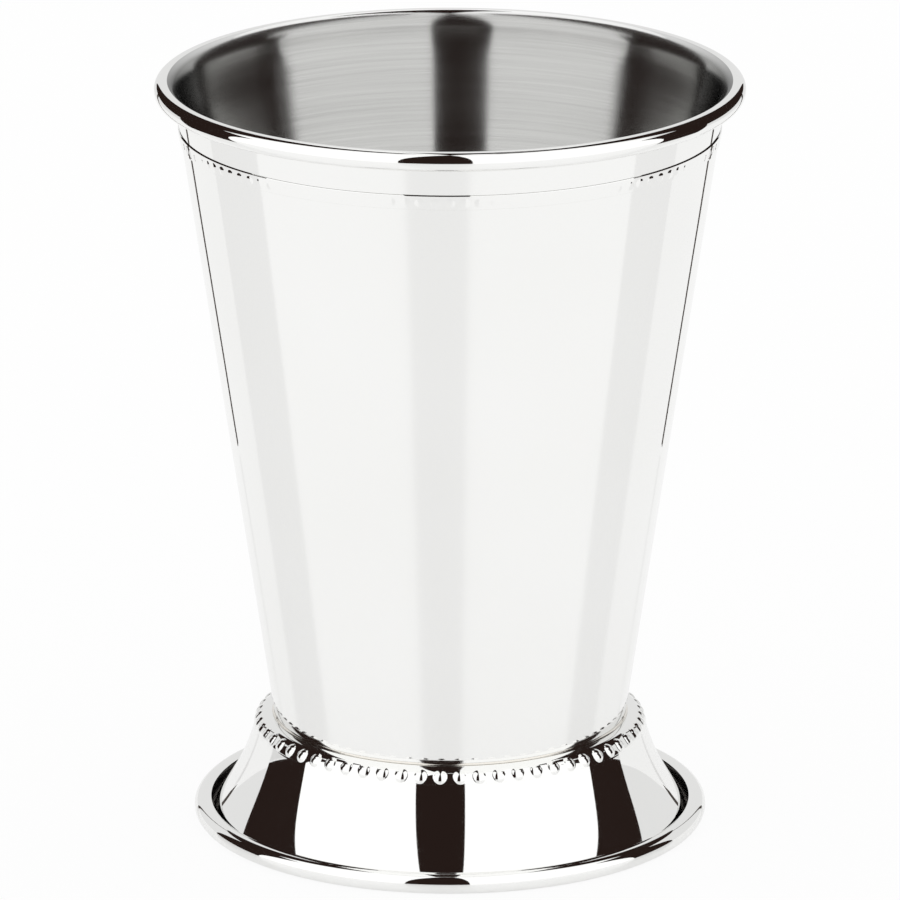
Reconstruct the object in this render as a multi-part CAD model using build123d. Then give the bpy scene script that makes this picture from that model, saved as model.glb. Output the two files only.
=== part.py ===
from build123d import *
from math import acos, asin, atan2, cos, degrees, hypot, pi, radians, sin, tan
import os

# Julep cup: a drawn, tapered bowl with a curled rim hangs in the tapered hole of a hollow foot.
# A beaded collar covers the joint of bowl and foot, and a fine beaded band runs under the rim.
# Millimetres, +Z up, origin at the centre of the circle that the foot stands on.

# Overall sizes
height = 117.65
mouth_diameter = 90.0
foot_diameter = 79.4
sheet = 0.8            # steel sheet of the bowl, the foot and the base plate
braze_gap = 0.05       # capillary gap between two brazed faces
curl_clearance = 0.15  # between a curl's free edge and the sheet that it closes on

# Bowl
rim_tube = 1.5         # outer radius of the rim's curl
lip_radius = 2.9       # inner radius of the flare that leads the wall into the curl
lip_end = 110.0        # degrees from the outward direction where the flare passes into the curl
bowl_base = 26.47      # outer radius of the wall, carried down to the bowl's underside
bowl_corner = 2.5      # outer radius between the wall and the bottom
bowl_drop = 3.0        # how far the bowl's bottom hangs below the foot's flat top

# Beaded band under the rim
band_drop = 8.45       # from the top of the rim down to the band's middle
band_width = 2.25
band_sheet = 0.15
band_bead_pitch = 2.24 # from bead to bead along the ring
band_bead_radius = 0.75
band_bead_rise = 0.14  # how far a bead stands out of the band

# Foot
seat_height = 14.6     # flat top of the foot, which the collar stands on and the bowl hangs in
shoulder_radius = 0.1  # edge between the flat top and the skirt
skirt_flare = 27.0     # degrees that the skirt's lean grows by on its way down
toe_turn = 8.0         # degrees more that it grows by in the sharper bend above the curl
toe_radius = 8.0       # radius of that bend's outer face
foot_tube = 1.6        # outer radius of the foot's curl
foot_land = 0.06       # ground off the curl's underside, so that the foot stands flat

# Beaded collar
collar_width = 3.4     # from the bowl's wall out to the collar's lower edge, flush with the skirt
collar_tube = 2.7      # radius of the rounded face
collar_bead_pitch = 3.0   # from bead to bead along the ring
collar_bead_ball = 1.5    # radius of the ball that a bead is a cap of
collar_bead_rise = 0.28   # how far a bead stands out of the rounded face
collar_bead_root = 0.3    # how far it reaches into the collar
collar_bead_angle = 42.0  # degrees above the outward direction that the beads look

# Base plate
plate_recess = 3.0     # from the table up to the plate's underside
plate_flange = 2.5     # height of the plate's turned-up edge

# Braze seam
seam_leg = 0.3         # reach of the seam up the bowl and out over the collar
seam_film = 0.02       # hairline between the seam and the faces that it wets


def at(centre, radius, angle):
    """Point on a circle, with the angle in degrees from the outward direction."""
    return (centre[0] + radius * cos(radians(angle)), centre[1] + radius * sin(radians(angle)))


def arc(centre, radius, start, end):
    return ThreePointArc(
        at(centre, radius, start), at(centre, radius, (start + end) / 2), at(centre, radius, end)
    )


def loop(corners):
    """Straight edges from corner to corner and back to the first."""
    return [Line(a, b) for a, b in zip(corners, corners[1:] + corners[:1])]


def turned(edges):
    """Solid of revolution about the cup's axis from a closed section of (radius, height) edges."""
    return revolve(Plane.XZ * make_face(Curve() + edges), Axis.Z)


def curl_close(tube, room):
    """Degrees that a curl stops short of a full turn, with this room from its middle to the sheet."""
    return degrees(acos((room - curl_clearance) / tube))


def bead_cap(ball, rise, root):
    """Cap of a ball about +X, standing out of the YZ plane by its rise and reaching in by its root."""
    keep = Pos(ball - root, 0, 0) * Box(2 * ball, 4 * ball, 4 * ball)
    return (Pos(rise - ball, 0, 0) * Rot(0, 90, 0) * Sphere(ball)) & keep


def around(radius, pitch, piece):
    """Copies of a piece around the cup's axis, as many as fit the ring at about the pitch."""
    count = round(2 * pi * radius / pitch)
    return [Rot(0, 0, 360 * i / count) * piece for i in range(count)]


# The bowl's wall leans so that it runs from the base radius straight into the flare of the lip,
# whose circle holds the smaller circle of the rim's curl and touches it where the two meet.
bowl_bottom = seat_height - bowl_drop
rim_centre = (mouth_diameter / 2 - rim_tube, height - rim_tube)
lip_centre = at(rim_centre, rim_tube - lip_radius, lip_end)
lip_run = (lip_centre[0] - bowl_base, lip_centre[1] - bowl_bottom)
wall_lean = degrees(atan2(*lip_run) - asin((lip_radius - sheet) / hypot(*lip_run)))
wall_in = 180 - wall_lean
wall_top = at(lip_centre, lip_radius - sheet, wall_in)


def beside_wall(z, gap):
    """Point level with a height, at a gap from the bowl's outer face."""
    return (wall_top[0] - (wall_top[1] - z) * tan(radians(wall_lean)) + gap / cos(radians(wall_lean)), z)


def on_wall(z, out):
    """Point at a distance out from the bowl's outer face, square to the wall."""
    return at(beside_wall(z, 0), out, -wall_lean)


def make_bowl():
    """Drawn from one sheet: flat bottom, rounded corner, tapered wall, flared lip, curled rim."""
    corner_z = bowl_bottom + bowl_corner
    floor = bowl_bottom + sheet
    lean = radians(wall_lean)
    corner_r = wall_top[0] + ((corner_z - wall_top[1]) * sin(lean) - bowl_corner) / cos(lean)
    corner = (corner_r, corner_z)
    inner_corner = bowl_corner - sheet
    room = lip_radius - sheet - (lip_radius - rim_tube) * cos(radians(wall_in - lip_end))
    free_edge = wall_in - 360 + curl_close(rim_tube, room)
    return turned([
        Line((0, floor), (corner_r, floor)),
        arc(corner, inner_corner, -90, -wall_lean),
        Line(at(corner, inner_corner, -wall_lean), at(lip_centre, lip_radius, wall_in)),
        arc(lip_centre, lip_radius, wall_in, lip_end),
        arc(rim_centre, rim_tube, lip_end, free_edge),
        Line(at(rim_centre, rim_tube, free_edge), at(rim_centre, rim_tube - sheet, free_edge)),
        arc(rim_centre, rim_tube - sheet, free_edge, lip_end),
        arc(lip_centre, lip_radius - sheet, lip_end, wall_in),
        Line(wall_top, at(corner, bowl_corner, -wall_lean)),
        arc(corner, bowl_corner, -wall_lean, -90),
        Line((corner_r, bowl_bottom), (0, bowl_bottom)),
        Line((0, bowl_bottom), (0, floor)),
    ])


def make_rim_bead_band():
    """Thin strip rolled with a row of low round beads, bent into a ring and brazed on."""
    middle = height - band_drop
    low = middle - band_width / 2
    high = middle + band_width / 2
    face = braze_gap + band_sheet
    corners = [on_wall(low, braze_gap), on_wall(low, face), on_wall(high, face), on_wall(high, braze_gap)]
    strip = turned(loop(corners))
    ball = (band_bead_radius ** 2 + band_bead_rise ** 2) / (2 * band_bead_rise)
    r, z = on_wall(middle, face)
    bead = Pos(r, 0, z) * Rot(0, wall_lean, 0) * bead_cap(ball, band_bead_rise, band_sheet / 2)
    return strip + around(r, band_bead_pitch, bead)


# Both faces of the foot's skirt are arcs about one far centre outside the foot, and so are those
# of its sharper toe about a nearer one. An arc's chord leans by the mean of its two end leans, so
# a few rounds settle the lean from collar to curl.
collar_bottom = seat_height + braze_gap
collar_radius = beside_wall(collar_bottom, 0)[0] + collar_width
foot_centre = (foot_diameter / 2 - foot_tube, foot_tube - foot_land)
skirt_mean = 25.0
for _ in range(30):
    skirt_lean_top = skirt_mean - skirt_flare / 2
    skirt_lean_base = skirt_mean + skirt_flare / 2
    toe_lean = skirt_lean_base + toe_turn
    toe_centre = at(foot_centre, toe_radius - foot_tube + sheet, toe_lean)
    skirt_end = at(toe_centre, toe_radius, 180 + skirt_lean_base)
    skirt_top_z = seat_height - shoulder_radius * (1 - sin(radians(skirt_lean_top)))
    skirt_mean = degrees(atan2(skirt_end[0] - collar_radius, skirt_top_z - skirt_end[1]))
skirt_turn = sin(radians(skirt_lean_base)) - sin(radians(skirt_lean_top))
skirt_arc = (skirt_top_z - skirt_end[1]) / skirt_turn
skirt_centre = at(skirt_end, skirt_arc, skirt_lean_base)


def make_foot():
    """Pressed from one sheet: flat top with a tapered hole, flared skirt, edge curled out and up."""
    top = 180 + skirt_lean_top
    base = 180 + skirt_lean_base
    toe = 180 + toe_lean
    shoulder = at(at(skirt_centre, skirt_arc, top), shoulder_radius, top)
    free_edge = toe + 360 - curl_close(foot_tube, foot_tube - sheet - foot_tube ** 2 / (2 * toe_radius))
    under = seat_height - sheet
    corner = 180 + degrees(asin((skirt_centre[1] - under) / (skirt_arc + sheet)))
    foot = turned([
        Line(beside_wall(seat_height, braze_gap), (shoulder[0], seat_height)),
        arc(shoulder, shoulder_radius, 90, skirt_lean_top),
        arc(skirt_centre, skirt_arc, top, base),
        arc(toe_centre, toe_radius, base, toe),
        arc(foot_centre, foot_tube - sheet, toe, free_edge),
        Line(at(foot_centre, foot_tube - sheet, free_edge), at(foot_centre, foot_tube, free_edge)),
        arc(foot_centre, foot_tube, free_edge, toe),
        arc(toe_centre, toe_radius + sheet, toe, base),
        arc(skirt_centre, skirt_arc + sheet, base, corner),
        Line(at(skirt_centre, skirt_arc + sheet, corner), beside_wall(under, braze_gap)),
        Line(beside_wall(under, braze_gap), beside_wall(seat_height, braze_gap)),
    ])
    return foot - Pos(0, 0, -foot_tube) * Cylinder(foot_diameter, 2 * foot_tube)


# The collar's rounded face ends in line with the skirt below it.
collar_centre = at((collar_radius, collar_bottom), -collar_tube, skirt_lean_top)


def crease_angle(tube, gap):
    """Where a circle about the collar's centre meets a line that stands off the bowl's wall."""
    stand_off = (collar_centre[0] - beside_wall(collar_centre[1], 0)[0]) * cos(radians(wall_lean))
    return wall_in - degrees(acos((stand_off - gap) / tube))


def make_bead_collar():
    """Solid rounded moulding ring with a row of beads, brazed around the bowl's base."""
    crease = crease_angle(collar_tube, braze_gap)
    inner_foot = beside_wall(collar_bottom, braze_gap)
    ring = turned([
        Line(inner_foot, at(collar_centre, collar_tube, crease)),
        arc(collar_centre, collar_tube, crease, skirt_lean_top),
        Line((collar_radius, collar_bottom), inner_foot),
    ])
    cap = bead_cap(collar_bead_ball, collar_bead_rise, collar_bead_root)
    r, z = at(collar_centre, collar_tube, collar_bead_angle)
    bead = Pos(r, 0, z) * Rot(0, -collar_bead_angle, 0) * cap
    return ring + around(r, collar_bead_pitch, bead)


def make_braze_seam():
    """Hollow fillet of braze metal in the crease between the bowl's wall and the collar's crest.

    Its flat underside clears the collar's rounded crest by the film at the middle.
    """
    turn = seam_leg / collar_tube
    tube = (collar_tube + seam_film) / cos(turn / 2)
    crease = crease_angle(tube, seam_film)
    root = at(collar_centre, tube, crease)
    outer = at(collar_centre, tube, crease - degrees(turn))
    upper = at(root, seam_leg, 90 - wall_lean)
    hollow = ((outer[0] + upper[0] + root[0]) / 3, (outer[1] + upper[1] + root[1]) / 3)
    corners = [root, upper, hollow, outer]
    return turned(loop(corners))


def make_base_plate():
    """Shallow pan that closes the foot: its turned-up edge lies against the skirt's underside."""
    outer = skirt_arc + sheet + braze_gap
    inner = outer + sheet
    lean_low = degrees(asin((skirt_centre[1] - plate_recess) / outer))
    lean_floor = degrees(asin((skirt_centre[1] - plate_recess - sheet) / inner))
    lean_high = degrees(asin((skirt_centre[1] - plate_recess - plate_flange) / outer))
    floor = plate_recess + sheet
    return turned([
        Line((0, plate_recess), at(skirt_centre, outer, 180 + lean_low)),
        arc(skirt_centre, outer, 180 + lean_low, 180 + lean_high),
        Line(at(skirt_centre, outer, 180 + lean_high), at(skirt_centre, inner, 180 + lean_high)),
        arc(skirt_centre, inner, 180 + lean_high, 180 + lean_floor),
        Line(at(skirt_centre, inner, 180 + lean_floor), (0, floor)),
        Line((0, floor), (0, plate_recess)),
    ])


os.makedirs("parts", exist_ok=True)
export_step(make_bowl(), "parts/bowl.step")
export_step(make_rim_bead_band(), "parts/rim_bead_band.step")
export_step(make_bead_collar(), "parts/bead_collar.step")
export_step(make_foot(), "parts/foot.step")
export_step(make_braze_seam(), "parts/braze_seam.step")
export_step(make_base_plate(), "parts/base_plate.step")
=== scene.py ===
import bpy
import numpy as np
from math import acos, asin, atan2, ceil, cos, degrees, dist, hypot, pi, radians, sin, sqrt, tan
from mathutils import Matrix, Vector


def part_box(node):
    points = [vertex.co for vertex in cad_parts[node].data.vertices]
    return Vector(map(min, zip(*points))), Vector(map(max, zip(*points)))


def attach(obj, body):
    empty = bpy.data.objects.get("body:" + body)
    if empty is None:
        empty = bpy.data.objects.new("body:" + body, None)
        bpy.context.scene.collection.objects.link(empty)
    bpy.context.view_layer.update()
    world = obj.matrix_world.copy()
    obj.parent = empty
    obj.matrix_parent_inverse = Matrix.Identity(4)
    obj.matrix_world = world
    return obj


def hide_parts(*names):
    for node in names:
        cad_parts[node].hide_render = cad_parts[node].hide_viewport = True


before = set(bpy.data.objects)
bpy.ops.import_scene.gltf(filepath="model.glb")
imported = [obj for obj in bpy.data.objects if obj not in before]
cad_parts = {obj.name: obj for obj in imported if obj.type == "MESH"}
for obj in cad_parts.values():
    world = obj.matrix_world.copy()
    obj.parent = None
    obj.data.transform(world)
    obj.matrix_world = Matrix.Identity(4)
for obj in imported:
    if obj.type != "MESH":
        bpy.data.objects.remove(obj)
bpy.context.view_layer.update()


# Bowl. Deep drawn from one disc of stainless steel sheet: a flat bottom with a rounded corner, a tapered
# wall, a flared lip and a rim curled outward into a tube. Mirror polished outside, brushed around inside.
MM = 0.001                # metres in a millimetre; the sizes below are in millimetres
TURNS = 384               # steps around the axis on a plain turned piece
SHARP = 32.0              # degrees; a sharper turn of a surface keeps its edge
SAME = 1e-6               # points closer than this are one
sheet = 0.8
curl_clearance = 0.15
bowl_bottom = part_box("bowl")[0].z / MM
mouth_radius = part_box("bowl")[1].x / MM
cup_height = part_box("bowl")[1].z / MM
bowl_base = 26.47
bowl_corner = 2.5
rim_tube = 1.5
lip_radius = 2.9
lip_end = 110.0           # degrees


def at(centre, radius, angle):
    """Point on a circle, with the angle in degrees from the outward direction."""
    return (centre[0] + radius * cos(radians(angle)), centre[1] + radius * sin(radians(angle)))


def arc(centre, radius, start, end, step=4.0):
    """Points along an arc, no more than a step of degrees apart."""
    count = max(2, ceil(abs(end - start) / step))
    return [at(centre, radius, start + (end - start) * i / count) for i in range(count + 1)]


def straight(start, end, spans=1, tuck=0.03):
    """Points along a line, with one close to each end that keeps the shading of the flat flat."""
    shares = [0, tuck] + [i / spans for i in range(1, spans)] + [1 - tuck, 1]
    return [(start[0] + (end[0] - start[0]) * t, start[1] + (end[1] - start[1]) * t) for t in shares]


def outline(*runs):
    """One closed section from runs of points, without the points that two runs share."""
    points = [p for run in runs for p in run]
    return [p for p, q in zip(points, points[-1:] + points[:-1]) if dist(p, q) > SAME]


def curl_close(tube, room):
    """Degrees that a curl stops short of a full turn, with this room from its middle to the sheet."""
    return degrees(acos((room - curl_clearance) / tube))


def turned_piece(name, section, materials, finish=lambda span: 0):
    """Piece turned about the cup's axis from its section in mm, one section or one for each turn angle."""
    section = np.asarray(section, float)
    if section.ndim == 2:
        section = np.broadcast_to(section, (TURNS, *section.shape))
    turns, count = section.shape[:2]
    angle = 2 * pi * np.arange(turns)[:, None] / turns
    radius, height = section[:, :, 0], section[:, :, 1]
    places = np.stack([radius * np.cos(angle), radius * np.sin(angle), height], -1).reshape(-1, 3) * MM
    number = np.arange(turns * count).reshape(turns, count)
    on_axis = section[0, :, 0] < SAME
    number[:, on_axis] = number[0, on_axis]
    steps = np.hypot(*np.diff(section[0], axis=0, append=section[0, :1]).T)
    along = np.concatenate([[0], np.cumsum(steps)]) / steps.sum()
    spans = count - 1 if on_axis.any() else count
    faces, finishes, map_places = [], [], []
    for i in range(turns):
        k = (i + 1) % turns
        for j in range(spans):
            n = (j + 1) % count
            ring = [(number[i, j], i, j), (number[i, n], i, j + 1),
                    (number[k, n], i + 1, j + 1), (number[k, j], i + 1, j)]
            corners = [c for c, before in zip(ring, ring[-1:] + ring[:-1]) if c[0] != before[0]]
            faces.append([c[0] for c in corners])
            finishes.append(finish(j))
            map_places += [x for c in corners for x in (c[1] / turns, along[c[2]])]
    used, faces_of_used = np.unique(np.concatenate(faces), return_inverse=True)
    corners = iter(faces_of_used.tolist())
    mesh = bpy.data.meshes.new(name)
    mesh.from_pydata(places[used].tolist(), [], [[next(corners) for _ in face] for face in faces])
    mesh.uv_layers.new(name="OFBake").data.foreach_set("uv", map_places)
    for material in materials:
        mesh.materials.append(material)
    mesh.polygons.foreach_set("material_index", finishes)
    mesh.polygons.foreach_set("use_smooth", [True] * len(faces))
    mesh.set_sharp_from_angle(angle=radians(SHARP))
    piece = bpy.data.objects.new(name, mesh)
    bpy.context.scene.collection.objects.link(piece)
    return piece


def linear(code):
    """Linear colour of an sRGB hex value."""
    parts = [int(code[i:i + 2], 16) / 255 for i in (0, 2, 4)]
    return tuple(c / 12.92 if c <= 0.04045 else ((c + 0.055) / 1.055) ** 2.4 for c in parts) + (1.0,)


def node(tree, kind, settings, links=()):
    """Adds a node, with its settings by property, socket name or number and its links by socket."""
    made = tree.nodes.new(kind)
    for name, value in settings.items():
        if isinstance(name, int) or name in made.inputs:
            made.inputs[name].default_value = value
        else:
            setattr(made, name, value)
    for name, source in dict(links).items():
        tree.links.new(source, made.inputs[name])
    return made


def start_material(name):
    """New material, with its node tree emptied."""
    material = bpy.data.materials.new(name)
    material.use_nodes = True
    material.node_tree.nodes.clear()
    return material, material.node_tree


# Mirror-polished stainless steel: buffing leaves a bright, almost colourless mirror. The eye sees the
# room in it, bent a little where the sheet is not quite even, and a faint haze from the last buffing,
# which is stronger just above the collar, where the wheel does not reach into the crease.
CREASE_HAZE = 0.06                # roughness that the crease adds at most
haze_low, haze_high = 16.9, 22.0  # heights between which it fades out
polished_steel, tree = start_material("mirror_polished_stainless_steel")
place = node(tree, "ShaderNodeTexCoord", {}).outputs["Object"]
sheet_wave = node(tree, "ShaderNodeTexNoise", {"Scale": 1 / (14 * MM), "Detail": 1.0}, {"Vector": place})
buff_haze = node(tree, "ShaderNodeTexNoise", {"Scale": 1 / (0.6 * MM), "Detail": 3.0}, {"Vector": place})
tone = node(tree, "ShaderNodeTexNoise", {"Scale": 1 / (30 * MM), "Detail": 2.0}, {"Vector": place})
haze = node(tree, "ShaderNodeMapRange",
            {"From Min": 0.3, "From Max": 0.7, "To Min": 0.015, "To Max": 0.045},
            {"Value": buff_haze.outputs["Fac"]})
level = node(tree, "ShaderNodeSeparateXYZ", {}, {"Vector": place}).outputs["Z"]
above_crease = node(tree, "ShaderNodeMath", {"operation": "GREATER_THAN", 1: haze_low * MM}, {0: level})
near_crease = node(tree, "ShaderNodeMapRange",
                   {"From Min": haze_high * MM, "From Max": haze_low * MM, "To Max": CREASE_HAZE},
                   {"Value": level})
all_haze = node(tree, "ShaderNodeMath", {"operation": "MULTIPLY_ADD"},
                {0: above_crease.outputs["Value"], 1: near_crease.outputs["Result"],
                 2: haze.outputs["Result"]})
metal_tone = node(tree, "ShaderNodeMix",
                  {"data_type": "RGBA", "A": linear("F9F9F8"), "B": linear("F5F5F3")},
                  {"Factor": tone.outputs["Fac"]})
wave = node(tree, "ShaderNodeBump", {"Strength": 1.0, "Distance": 0.02 * MM},
            {"Height": sheet_wave.outputs["Fac"]})
steel = node(tree, "ShaderNodeBsdfPrincipled", {"Metallic": 1.0},
             {"Base Color": metal_tone.outputs["Result"], "Roughness": all_haze.outputs["Value"],
              "Normal": wave.outputs["Normal"]})
node(tree, "ShaderNodeOutputMaterial", {}, {"Surface": steel.outputs["BSDF"]})

# Brushed stainless steel: an abrasive pad turned inside the bowl leaves fine lines that run around it,
# with their wider flanks looking up. They keep reflections fairly sharp from side to side and draw them
# out from top to bottom. Towards the lip the brushing fades into the polish. Real lines are about a
# tenth of a millimetre wide; these are drawn coarser, so that they show.
FLANK = 0.30                          # slope of the lines' wider flanks
flank_fade = 4.0                      # the flanks level out this far below the brim
fade_start, fade_end = 0.9, 0.1       # below the brim; between these the brushing gives way to polish
brushed_steel, tree = start_material("brushed_stainless_steel")
place = node(tree, "ShaderNodeTexCoord", {}).outputs["Object"]
level = node(tree, "ShaderNodeSeparateXYZ", {}, {"Vector": place}).outputs["Z"]
polish = node(tree, "ShaderNodeMapRange",
              {"interpolation_type": "SMOOTHSTEP", "From Min": (cup_height - fade_start) * MM,
               "From Max": (cup_height - fade_end) * MM},
              {"Value": level}).outputs["Result"]
line_place = node(tree, "ShaderNodeMapping", {"Scale": (1 / (40 * MM), 1 / (40 * MM), 1 / (0.5 * MM))},
                  {"Vector": place})
brush_lines = node(tree, "ShaderNodeTexNoise", {"Scale": 1.0, "Detail": 5.0, "Roughness": 0.65},
                   {"Vector": line_place.outputs["Vector"]})
band_place = node(tree, "ShaderNodeMapping", {"Scale": (1 / (60 * MM), 1 / (60 * MM), 1 / (4 * MM))},
                  {"Vector": place})
brush_bands = node(tree, "ShaderNodeTexNoise", {"Scale": 1.0, "Detail": 3.0},
                   {"Vector": band_place.outputs["Vector"]})
brush_tone = node(tree, "ShaderNodeMix",
                  {"data_type": "RGBA", "A": linear("B2B2B0"), "B": linear("D2D2D0")},
                  {"Factor": brush_lines.outputs["Fac"]})
bowl_tone = node(tree, "ShaderNodeMix", {"data_type": "RGBA", "B": linear("F9F9F8")},
                 {"Factor": polish, "A": brush_tone.outputs["Result"]})
brush = node(tree, "ShaderNodeMapRange", {"From Min": 0.3, "From Max": 0.7, "To Min": 0.17, "To Max": 0.22},
             {"Value": brush_bands.outputs["Fac"]})
haze = node(tree, "ShaderNodeMix", {"B": 0.04}, {"Factor": polish, "A": brush.outputs["Result"]})
line_depth = node(tree, "ShaderNodeMath", {"operation": "MULTIPLY", 1: 0.002 * MM},
                  {0: brush_lines.outputs["Fac"]})
flank_end = node(tree, "ShaderNodeMath",
                 {"operation": "SMOOTH_MIN", 1: (cup_height - flank_fade) * MM, 2: flank_fade * MM},
                 {0: level})
relief = node(tree, "ShaderNodeMath", {"operation": "MULTIPLY_ADD", 1: -FLANK},
              {0: flank_end.outputs["Value"], 2: line_depth.outputs["Value"]})
brush_cut = node(tree, "ShaderNodeBump", {"Strength": 1.0, "Distance": 1.0},
                 {"Height": relief.outputs["Value"]})
turn_way = node(tree, "ShaderNodeTangent", {"direction_type": "RADIAL", "axis": "Z"})
steel = node(tree, "ShaderNodeBsdfPrincipled",
             {"Metallic": 1.0, "Anisotropic": 1.0, "Anisotropic Rotation": 0.25,
              "Specular Tint": linear("8A8A8A")},
             {"Base Color": bowl_tone.outputs["Result"], "Roughness": haze.outputs["Result"],
              "Normal": brush_cut.outputs["Normal"], "Tangent": turn_way.outputs["Tangent"]})
node(tree, "ShaderNodeOutputMaterial", {}, {"Surface": steel.outputs["BSDF"]})

rim_centre = (mouth_radius - rim_tube, cup_height - rim_tube)
lip_centre = at(rim_centre, rim_tube - lip_radius, lip_end)
lip_run = (lip_centre[0] - bowl_base, lip_centre[1] - bowl_bottom)
wall_lean = degrees(atan2(*lip_run) - asin((lip_radius - sheet) / hypot(*lip_run)))
wall_in = 180 - wall_lean
wall_top = at(lip_centre, lip_radius - sheet, wall_in)
corner_z = bowl_bottom + bowl_corner
lean_sin, lean_cos = sin(radians(wall_lean)), cos(radians(wall_lean))
corner_r = wall_top[0] + ((corner_z - wall_top[1]) * lean_sin - bowl_corner) / lean_cos
corner = (corner_r, corner_z)
rim_room = lip_radius - sheet - (lip_radius - rim_tube) * cos(radians(wall_in - lip_end))
rim_edge = wall_in - 360 + curl_close(rim_tube, rim_room)
floor_z = bowl_bottom + sheet
bowl_inside = outline(
    straight((0, floor_z), (corner_r, floor_z), 10),
    arc(corner, bowl_corner - sheet, -90, -wall_lean),
    straight(at(corner, bowl_corner - sheet, -wall_lean), at(lip_centre, lip_radius, wall_in), 30, 0.005),
    arc(lip_centre, lip_radius, wall_in, lip_end, 2),
)
bowl_section = outline(
    bowl_inside,
    arc(rim_centre, rim_tube, lip_end, rim_edge, 3),
    arc(rim_centre, rim_tube - sheet, rim_edge, lip_end, 8),
    arc(lip_centre, lip_radius - sheet, lip_end, wall_in, 6),
    straight(wall_top, at(corner, bowl_corner, -wall_lean), 30, 0.005),
    arc(corner, bowl_corner, -wall_lean, -90),
    straight((corner_r, bowl_bottom), (0, bowl_bottom), 6),
)
POLISHED, BRUSHED = 0, 1
bowl = turned_piece("bowl_polished", bowl_section, [polished_steel, brushed_steel],
                    lambda span: BRUSHED if span < len(bowl_inside) - 1 else POLISHED)
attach(bowl, "root")
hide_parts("bowl")


# Rim bead band. A thin steel strip rolled with a row of low round beads, bent into a ring and brazed
# around the wall under the rim, then polished with the bowl.
band_drop = 8.45
band_width = 2.25
band_sheet = 0.15
band_beads = 116
band_bead_radius = 0.75
band_bead_rise = 0.05
band_edge = 0.08          # rounding of the strip's edges
BAND_COLUMNS = 14         # mesh columns for each bead
BAND_ROWS = 23            # mesh points across the strip
braze_gap = 0.05


def beside_wall(z, gap):
    """Point level with a height, at a gap from the bowl's outer face."""
    return (wall_top[0] - (wall_top[1] - z) * tan(radians(wall_lean)) + gap / lean_cos, z)


def on_wall(z, out):
    """Point at a distance out from the bowl's outer face, square to the wall."""
    return at(beside_wall(z, 0), out, -wall_lean)


band_middle = cup_height - band_drop
band_face = braze_gap + band_sheet
# A bead is the cap of a larger ball.
ball = (band_bead_radius ** 2 + band_bead_rise ** 2) / (2 * band_bead_rise)
band_pitch = 2 * pi * on_wall(band_middle, band_face)[0] / band_beads


def bead_height(up, aside):
    """Height of the strip's beads over its face."""
    away = hypot(up, aside)
    return sqrt(ball ** 2 - away ** 2) - (ball - band_bead_rise) if away < band_bead_radius else 0.0


def band_section(column):
    """Section of the strip at one mesh column of a bead."""
    share = column / BAND_COLUMNS
    aside = band_pitch * (share - round(share))
    half = band_width / 2
    points = [on_wall(band_middle - half, braze_gap), on_wall(band_middle + half, braze_gap),
              on_wall(band_middle + half, band_face - band_edge)]
    for up in np.linspace(half - band_edge, -half + band_edge, BAND_ROWS):
        rise = bead_height(up / lean_cos, aside)
        points.append(on_wall(band_middle + up, band_face + rise))
    return points + [on_wall(band_middle - half, band_face - band_edge)]


one_bead = [band_section(c) for c in range(BAND_COLUMNS)]
rim_bead_band = turned_piece("rim_bead_band_polished", one_bead * band_beads, [polished_steel])
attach(rim_bead_band, "root")
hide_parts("rim_bead_band")


# Foot. Pressed from one disc of stainless steel sheet: a flat top with a tapered hole that the bowl
# hangs in, a flared skirt, and an edge that is curled outward and up into a tube. It is mirror
# polished, and the underside of the curl is ground flat so that the cup doesn't rock.
foot_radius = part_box("foot")[1].x / MM
seat_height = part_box("foot")[1].z / MM
collar_width = 3.4
shoulder_radius = 0.01
skirt_flare = 27.0        # degrees
toe_turn = 8.0            # degrees
toe_radius = 8.0
foot_tube = 1.6
foot_land = 0.06
curl_slot = 28.0          # degrees that the curl is left open, so that one sees into it

# Both faces of the skirt are arcs about one far centre outside the foot, and those of its sharper toe
# about a nearer one. An arc's chord leans by the mean of its two end leans, so a few rounds settle it.
collar_bottom = seat_height + braze_gap
collar_radius = beside_wall(collar_bottom, 0)[0] + collar_width
foot_centre = (foot_radius - foot_tube, foot_tube - foot_land)
skirt_mean = 25.0         # degrees; the first guess
ROUNDS = 30
for _ in range(ROUNDS):
    lean_top = skirt_mean - skirt_flare / 2
    lean_base = skirt_mean + skirt_flare / 2
    lean_toe = lean_base + toe_turn
    toe_centre = at(foot_centre, toe_radius - foot_tube + sheet, lean_toe)
    skirt_end = at(toe_centre, toe_radius, 180 + lean_base)
    skirt_top_z = seat_height - shoulder_radius * (1 - sin(radians(lean_top)))
    skirt_mean = degrees(atan2(skirt_end[0] - collar_radius, skirt_top_z - skirt_end[1]))
skirt_arc = (skirt_top_z - skirt_end[1]) / (sin(radians(lean_base)) - sin(radians(lean_top)))
skirt_centre = at(skirt_end, skirt_arc, lean_base)
shoulder = at(at(skirt_centre, skirt_arc, 180 + lean_top), shoulder_radius, 180 + lean_top)
foot_room = foot_tube - sheet - foot_tube ** 2 / (2 * toe_radius)
free_edge = 180 + lean_toe + 360 - curl_close(foot_tube, foot_room) - curl_slot
web_under = seat_height - sheet
lean_under = degrees(asin((skirt_centre[1] - web_under) / (skirt_arc + sheet)))
land_turn = degrees(acos((foot_tube - foot_land) / foot_tube))
foot_face = outline(
    straight(beside_wall(seat_height, braze_gap), (shoulder[0], seat_height)),
    arc(shoulder, shoulder_radius, 90, lean_top, 10),
    arc(skirt_centre, skirt_arc, 180 + lean_top, 180 + lean_base, 0.5),
    arc(toe_centre, toe_radius, 180 + lean_base, 180 + lean_toe, 1.0),
)
curl_inside = arc(foot_centre, foot_tube - sheet, 180 + lean_toe, free_edge, 6)
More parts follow.
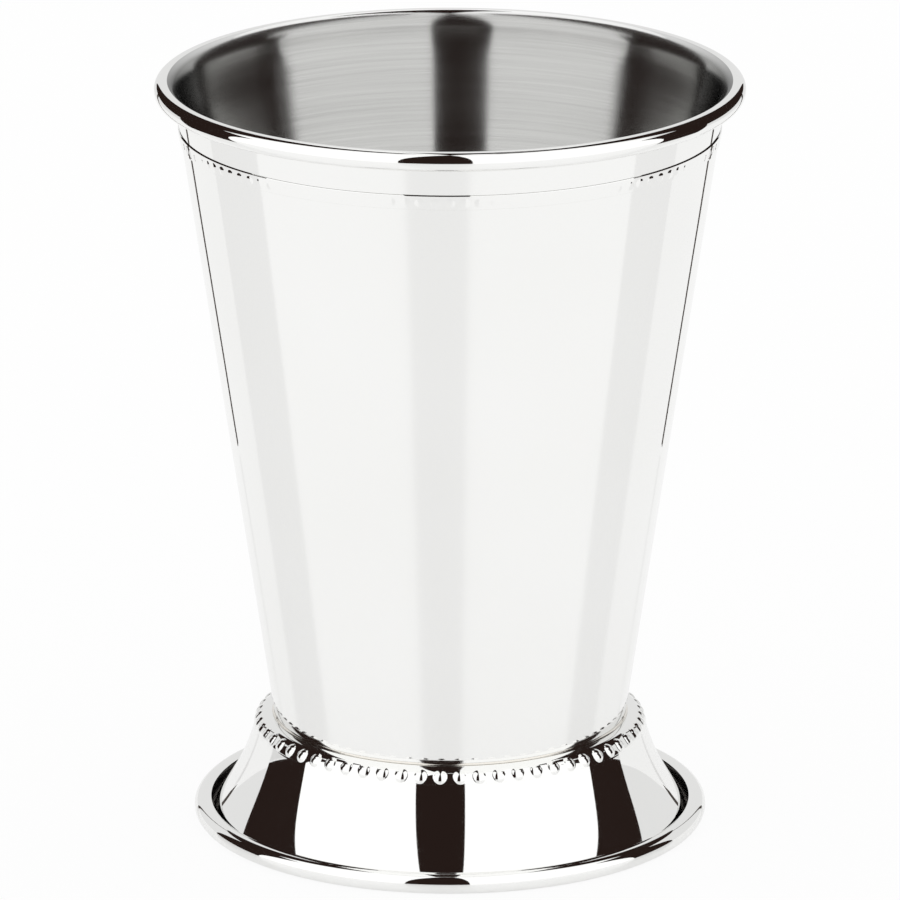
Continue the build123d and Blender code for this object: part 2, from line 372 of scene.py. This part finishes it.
foot_section = outline(
    foot_face,
    curl_inside,
    arc(foot_centre, foot_tube, free_edge, 270 + land_turn, 3),
    arc(foot_centre, foot_tube, 270 - land_turn, 180 + lean_toe),
    arc(toe_centre, toe_radius + sheet, 180 + lean_toe, 180 + lean_base, 2.0),
    arc(skirt_centre, skirt_arc + sheet, 180 + lean_base, 180 + lean_under, 1.0),
    straight(at(skirt_centre, skirt_arc + sheet, 180 + lean_under), beside_wall(web_under, braze_gap)),
)

# Raw pressed stainless steel: no wheel reaches into the curl, so the sheet keeps its dull mill finish and
# faint marks. Its dark grey colour is painted shade, standing for the shade inside the curl, seen in the
# slot.
raw_steel_painted_shade, tree = start_material("raw_stainless_steel_painted_shade")
place = node(tree, "ShaderNodeTexCoord", {}).outputs["Object"]
mill_marks = node(tree, "ShaderNodeTexNoise", {"Scale": 1 / (0.4 * MM), "Detail": 3.0}, {"Vector": place})
curl_painted_shade_tone = node(tree, "ShaderNodeMix",
                {"data_type": "RGBA", "A": linear("4E4A47"), "B": linear("6A6663")},
                {"Factor": mill_marks.outputs["Fac"]})
dullness = node(tree, "ShaderNodeMapRange",
                {"From Min": 0.3, "From Max": 0.7, "To Min": 0.35, "To Max": 0.50},
                {"Value": mill_marks.outputs["Fac"]})
steel = node(tree, "ShaderNodeBsdfPrincipled", {"Metallic": 1.0},
             {"Base Color": curl_painted_shade_tone.outputs["Result"], "Roughness": dullness.outputs["Result"]})
node(tree, "ShaderNodeOutputMaterial", {}, {"Surface": steel.outputs["BSDF"]})

# The inside face of the curl takes the raw steel, whose dark grey is painted shade.
RAW_PAINTED_SHADE = 1
curl_start, curl_stop = len(foot_face) - 1, len(foot_face) + len(curl_inside) - 2
foot = turned_piece("foot_polished", foot_section, [polished_steel, raw_steel_painted_shade],
                    lambda span: RAW_PAINTED_SHADE if curl_start <= span < curl_stop else POLISHED)
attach(foot, "root")
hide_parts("foot")


# Bead collar. A cast and polished moulding ring that hides the joint of bowl and foot: a rounded face
# with a row of oval beads, in line with the skirt. It slips over the bowl's wall and is brazed to both.
collar_tube = 2.7
bead_pitch = 3.0
bead_rise = 0.28
bead_angle = 38.0         # degrees above the outward direction
bead_half_turn = 24.0     # degrees of the section that a bead covers to each side of its middle
bead_half_width = 0.95
BEAD_SWELL = 0.8          # 1 is a plain cap; less is fuller, with a steeper edge
COLUMNS = 24              # mesh columns for each bead
CREST_ROWS = 12           # mesh points from the crease to the beads
BEAD_ROWS = 37            # and from there down over the beads
seat_film = 0.005         # what stays of the gap below the collar, because braze fills it
collar_seat = seat_height + seat_film
collar_centre = at((collar_radius, collar_bottom), -collar_tube, lean_top)


def crease_angle(tube, gap):
    """Where a circle about the collar's centre meets a line that stands off the bowl's wall."""
    stand_off = (collar_centre[0] - beside_wall(collar_centre[1], 0)[0]) * lean_cos
    return wall_in - degrees(acos((stand_off - gap) / tube))


collar_crease = crease_angle(collar_tube, braze_gap)
inner_foot = beside_wall(collar_seat, braze_gap)
outer_foot = (collar_radius + (collar_bottom - collar_seat) * tan(radians(lean_top)), collar_seat)
inner_top = at(collar_centre, collar_tube, collar_crease)
bead_count = round(2 * pi * at(collar_centre, collar_tube, bead_angle)[0] / bead_pitch)


def bead_reach(angle, aside):
    """How far the ring's rounded face, with its beads, lies from the section's centre."""
    off_middle = hypot((angle - bead_angle) / bead_half_turn, aside / bead_half_width)
    return collar_tube + bead_rise * max(1 - off_middle ** 2, 0) ** BEAD_SWELL


def collar_section(column):
    """Section of the ring at one mesh column of a bead."""
    share = column / COLUMNS
    aside = bead_pitch * (share - round(share))
    bead_top = bead_angle + bead_half_turn
    crest = np.linspace(collar_crease, bead_top, CREST_ROWS)
    beaded = np.linspace(bead_top, lean_top, BEAD_ROWS)[1:]
    face = [at(collar_centre, bead_reach(a, aside), a) for a in [*crest, *beaded]]
    return straight(inner_foot, inner_top)[:-1] + face + straight(outer_foot, inner_foot)[:-1]


one_bead = [collar_section(c) for c in range(COLUMNS)]
bead_collar = turned_piece("bead_collar_polished", one_bead * bead_count, [polished_steel])
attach(bead_collar, "root")
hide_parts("bead_collar")


# Braze seam. A thin hollow fillet of silver braze metal that flowed into the crease between the bowl's
# wall and the collar's crest. It was buffed with the cup and is a little warmer than the steel.
seam_leg = 0.3
seam_film = 0.02
SEAM_POINTS = 9           # mesh points across the hollow face

# Buffed silver braze: the fillet keeps a slight ripple under its shine and a faintly warm tone.
silver_braze, tree = start_material("buffed_silver_braze")
place = node(tree, "ShaderNodeTexCoord", {}).outputs["Object"]
ripple = node(tree, "ShaderNodeTexNoise", {"Scale": 1 / (0.5 * MM), "Detail": 2.0}, {"Vector": place})
braze_tone = node(tree, "ShaderNodeMix",
                  {"data_type": "RGBA", "A": linear("E6E1D8"), "B": linear("EFECE6")},
                  {"Factor": ripple.outputs["Fac"]})
skin = node(tree, "ShaderNodeMapRange",
            {"From Min": 0.3, "From Max": 0.7, "To Min": 0.06, "To Max": 0.14},
            {"Value": ripple.outputs["Fac"]})
rippled = node(tree, "ShaderNodeBump", {"Strength": 0.5, "Distance": 0.003 * MM},
               {"Height": ripple.outputs["Fac"]})
braze = node(tree, "ShaderNodeBsdfPrincipled", {"Metallic": 1.0},
             {"Base Color": braze_tone.outputs["Result"], "Roughness": skin.outputs["Result"],
              "Normal": rippled.outputs["Normal"]})
node(tree, "ShaderNodeOutputMaterial", {}, {"Surface": braze.outputs["BSDF"]})

seam_turn = seam_leg / collar_tube
seam_tube = (collar_tube + seam_film) / cos(seam_turn / 2)
seam_crease = crease_angle(seam_tube, seam_film)
root = at(collar_centre, seam_tube, seam_crease)
outer = at(collar_centre, seam_tube, seam_crease - degrees(seam_turn))
upper = at(root, seam_leg, 90 - wall_lean)
hollow = ((outer[0] + upper[0] + root[0]) / 3, (outer[1] + upper[1] + root[1]) / 3)
hollow_face = [
    (upper[0] * (1 - t) ** 2 + 2 * hollow[0] * t * (1 - t) + outer[0] * t ** 2,
     upper[1] * (1 - t) ** 2 + 2 * hollow[1] * t * (1 - t) + outer[1] * t ** 2)
    for t in np.linspace(0, 1, SEAM_POINTS)
]
braze_seam = turned_piece("braze_seam_silver", [root] + hollow_face, [silver_braze])
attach(braze_seam, "root")
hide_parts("braze_seam")


# Base plate. A shallow pan pressed from the same sheet closes the hollow foot from below; its edge is
# turned up against the skirt's inside and brazed. Its face is left satin, with fine turned rings.
plate_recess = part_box("base_plate")[0].z / MM
plate_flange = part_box("base_plate")[1].z / MM - plate_recess
pan_outer = skirt_arc + sheet + braze_gap
pan_inner = pan_outer + sheet

# Satin stainless steel: the lathe's abrasive leaves rings about a third of a millimetre wide, which
# spread the light outward from the middle, so that the eye sees a soft fan of light and dark.
satin_steel, tree = start_material("satin_turned_stainless_steel")
place = node(tree, "ShaderNodeTexCoord", {}).outputs["Object"]
flat_place = node(tree, "ShaderNodeVectorMath", {"operation": "MULTIPLY", 1: (1, 1, 0)}, {0: place})
from_axis = node(tree, "ShaderNodeVectorMath", {"operation": "LENGTH"},
                 {"Vector": flat_place.outputs["Vector"]})
rings = node(tree, "ShaderNodeTexNoise",
             {"noise_dimensions": "1D", "Scale": 1 / (0.35 * MM), "Detail": 4.0},
             {"W": from_axis.outputs["Value"]})
smear = node(tree, "ShaderNodeTexNoise", {"Scale": 1 / (9 * MM), "Detail": 3.0}, {"Vector": place})
satin_tone = node(tree, "ShaderNodeMix",
                  {"data_type": "RGBA", "A": linear("D6D5D2"), "B": linear("E4E3E0")},
                  {"Factor": rings.outputs["Fac"]})
satin = node(tree, "ShaderNodeMapRange",
             {"From Min": 0.3, "From Max": 0.7, "To Min": 0.26, "To Max": 0.40},
             {"Value": smear.outputs["Fac"]})
ring_cut = node(tree, "ShaderNodeBump", {"Strength": 0.6, "Distance": 0.004 * MM},
                {"Height": rings.outputs["Fac"]})
turn_way = node(tree, "ShaderNodeTangent", {"direction_type": "RADIAL", "axis": "Z"})
steel = node(tree, "ShaderNodeBsdfPrincipled",
             {"Metallic": 1.0, "Anisotropic": 0.7, "Anisotropic Rotation": 0.25},
             {"Base Color": satin_tone.outputs["Result"], "Roughness": satin.outputs["Result"],
              "Normal": ring_cut.outputs["Normal"], "Tangent": turn_way.outputs["Tangent"]})
node(tree, "ShaderNodeOutputMaterial", {}, {"Surface": steel.outputs["BSDF"]})

pan_low = degrees(asin((skirt_centre[1] - plate_recess) / pan_outer))
pan_floor = degrees(asin((skirt_centre[1] - plate_recess - sheet) / pan_inner))
pan_high = degrees(asin((skirt_centre[1] - plate_recess - plate_flange) / pan_outer))
plate_section = outline(
    straight((0, plate_recess + sheet), at(skirt_centre, pan_inner, 180 + pan_floor), 12),
    arc(skirt_centre, pan_inner, 180 + pan_floor, 180 + pan_high, 0.5),
    arc(skirt_centre, pan_outer, 180 + pan_high, 180 + pan_low, 0.5),
    straight(at(skirt_centre, pan_outer, 180 + pan_low), (0, plate_recess), 12),
)
base_plate = turned_piece("base_plate_satin", plate_section, [satin_steel])
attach(base_plate, "root")
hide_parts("base_plate")


# Floor. A white acrylic sheet with a gloss that shows only in the metal. From below it lets the eye
# through, so that the underside of the cup can be seen.
FLOOR_SIDE = 6.0          # metres
WHITE_SEEN = 0.9          # share of even white that the eye sees straight on
WHITE_IN_METAL = 0.5      # and the share that the metal mirrors

# White acrylic sheet: cast smooth, so that the eye sees an even white without grain or gloss.
acrylic, tree = start_material("white_acrylic_sheet")
place = node(tree, "ShaderNodeTexCoord", {}).outputs["Object"]
grain = node(tree, "ShaderNodeTexNoise", {"Scale": 1 / (200 * MM), "Detail": 2.0}, {"Vector": place})
acrylic_tone = node(tree, "ShaderNodeMix",
                    {"data_type": "RGBA", "A": linear("F8F8F8"), "B": linear("F6F6F6")},
                    {"Factor": grain.outputs["Fac"]})
ray = node(tree, "ShaderNodeLightPath", {})
white_in_metal = node(tree, "ShaderNodeMath", {"operation": "MULTIPLY", 1: WHITE_IN_METAL},
                      {0: ray.outputs["Is Glossy Ray"]})
white_share = node(tree, "ShaderNodeMath", {"operation": "MULTIPLY_ADD", 1: WHITE_SEEN},
                   {0: ray.outputs["Is Camera Ray"], 2: white_in_metal.outputs["Value"]})
gloss = node(tree, "ShaderNodeMath", {"operation": "SUBTRACT", 0: 1.0}, {1: ray.outputs["Is Camera Ray"]})
sheet_face = node(tree, "ShaderNodeBsdfPrincipled", {"Roughness": 0.2, "IOR": 1.7},
                  {"Base Color": acrylic_tone.outputs["Result"],
                   "Specular IOR Level": gloss.outputs["Value"]})
white = node(tree, "ShaderNodeEmission", {"Color": linear("FFFFFF"), "Strength": 1.0})
lit = node(tree, "ShaderNodeMixShader", {},
           {0: white_share.outputs["Value"], 1: sheet_face.outputs["BSDF"], 2: white.outputs["Emission"]})
clear = node(tree, "ShaderNodeBsdfTransparent", {})
side = node(tree, "ShaderNodeNewGeometry", {})
from_below = node(tree, "ShaderNodeMixShader", {},
                  {0: side.outputs["Backfacing"], 1: lit.outputs["Shader"], 2: clear.outputs["BSDF"]})
node(tree, "ShaderNodeOutputMaterial", {}, {"Surface": from_below.outputs["Shader"]})

far = FLOOR_SIDE / 2
floor_mesh = bpy.data.meshes.new("floor")
floor_corners = [(-far, -far, 0), (far, -far, 0), (far, far, 0), (-far, far, 0)]
floor_mesh.from_pydata(floor_corners, [], [(0, 1, 2, 3)])
floor_mesh.materials.append(acrylic)
floor = bpy.data.objects.new("floor", floor_mesh)
bpy.context.scene.collection.objects.link(floor)


# Studio cards. Curved cards of cloth and paper stand around the cup: black flags that draw the dark
# stripes in the metal, softboxes that draw the white ones, and a pale backdrop with a dark upper edge
# that bends in over the cup. They show in the metal only.
CARD_POINTS = 25                  # mesh points across a card
CARD_CENTRE = 0.06                # height of the middle of the curved cards, in metres like the sizes below
CARD_FOOT = 0.001
SOFTBOX_REACH = 0.65
FLAG_SIDE = [(0.3, CARD_FOOT), (0.3, 0.315)]
EDGE_SIDE = [(0.19, 0.121), (0.19, 0.33), (0.05, 0.42)]
STAND_SIDE = [(0.17, CARD_FOOT), (0.17, 0.12)]
SOFTBOX_LOW = -5.2                # degrees of elevation
SOFTBOX_TOP, FLAG_TOP, BACKDROP_TOP = 80, 122, 45
GAP_LEFT, GAP_RIGHT = -19.0, 8.3  # degrees around the cup from the camera; the flag fills this gap
BACKDROP_LEFT, BACKDROP_RIGHT = -105, 97
SOFTBOX_GLOW = 1.1
BLACK_CLOTH, WHITE_CLOTH, BACKDROP_PAPER, STAND_PAINT = "261C19", "FFFFFF", "E7E7E7", "4A4440"


def dome(reach, low, high):
    """Profile of a card that bends over the cup on a sphere, from one elevation to another."""
    turns = np.radians(np.linspace(low, high, CARD_POINTS))
    return [(reach * cos(turn), CARD_CENTRE + reach * sin(turn)) for turn in turns]


def card(name, left, right, profile, code, strength=1.0):
    """Card swept about the cup's axis from its (reach, height) profile, left to right from the camera."""
    turns = np.radians(np.linspace(left, right, CARD_POINTS))
    places = [(reach * sin(turn), -reach * cos(turn), height)
              for reach, height in profile for turn in turns]
    corners = [j * CARD_POINTS + i for j in range(len(profile) - 1) for i in range(CARD_POINTS - 1)]
    mesh = bpy.data.meshes.new(name)
    mesh.from_pydata(places, [], [(n, n + 1, n + CARD_POINTS + 1, n + CARD_POINTS) for n in corners])
    material, tree = start_material(name)
    glow = node(tree, "ShaderNodeEmission", {"Color": linear(code), "Strength": strength})
    node(tree, "ShaderNodeOutputMaterial", {}, {"Surface": glow.outputs["Emission"]})
    mesh.materials.append(material)
    made = bpy.data.objects.new(name, mesh)
    bpy.context.scene.collection.objects.link(made)
    made.visible_camera = False
    made.visible_diffuse = False
    made.visible_shadow = False
    made.visible_transmission = False


card("flag_camera_side", GAP_LEFT, GAP_RIGHT, dome(SOFTBOX_REACH, SOFTBOX_LOW, FLAG_TOP), BLACK_CLOTH)
card("flag_left", -118.4, -87.3, FLAG_SIDE, BLACK_CLOTH)
card("flag_right", 83.2, 108.8, FLAG_SIDE, BLACK_CLOTH)
softbox = dome(SOFTBOX_REACH, SOFTBOX_LOW, SOFTBOX_TOP)
card("softbox_left", BACKDROP_LEFT, GAP_LEFT, softbox, WHITE_CLOTH, SOFTBOX_GLOW)
card("softbox_right", GAP_RIGHT, BACKDROP_RIGHT, softbox, WHITE_CLOTH, SOFTBOX_GLOW)
backdrop = dome(SOFTBOX_REACH, SOFTBOX_LOW, BACKDROP_TOP)
card("backdrop", BACKDROP_RIGHT, BACKDROP_LEFT + 360, backdrop, BACKDROP_PAPER)
card("backdrop_edge_left", -150, -103, EDGE_SIDE, BLACK_CLOTH)
card("backdrop_edge_right", 103, 150, EDGE_SIDE, BLACK_CLOTH)
card("stand_left", -140, -137.5, STAND_SIDE, STAND_PAINT)
card("stand_right", 137.5, 140, STAND_SIDE, STAND_PAINT)

world = bpy.data.worlds.new("studio")
world.use_nodes = True
world.node_tree.nodes.clear()
sky = node(world.node_tree, "ShaderNodeBackground", {"Color": linear("FFFFFF"), "Strength": 1.0})
node(world.node_tree, "ShaderNodeOutputWorld", {}, {"Surface": sky.outputs["Background"]})
bpy.context.scene.world = world
bpy.context.scene.view_settings.view_transform = "Standard"


# Camera. A long lens a little above the cup, level from side to side. Its place and its aim, in metres,
# come from a fit to the outlines of the rim, the wall and the foot.
camera_data = bpy.data.cameras.new("camera")
camera_data.sensor_width = 36.0
camera_data.lens = 360.54
camera = bpy.data.objects.new("camera", camera_data)
bpy.context.scene.collection.objects.link(camera)
camera.location = (0, -1.32610, 0.46144)
aim = Vector((0, 0, 0.05858))
camera.rotation_euler = (aim - camera.location).to_track_quat("-Z", "Y").to_euler()
bpy.context.scene.camera = camera
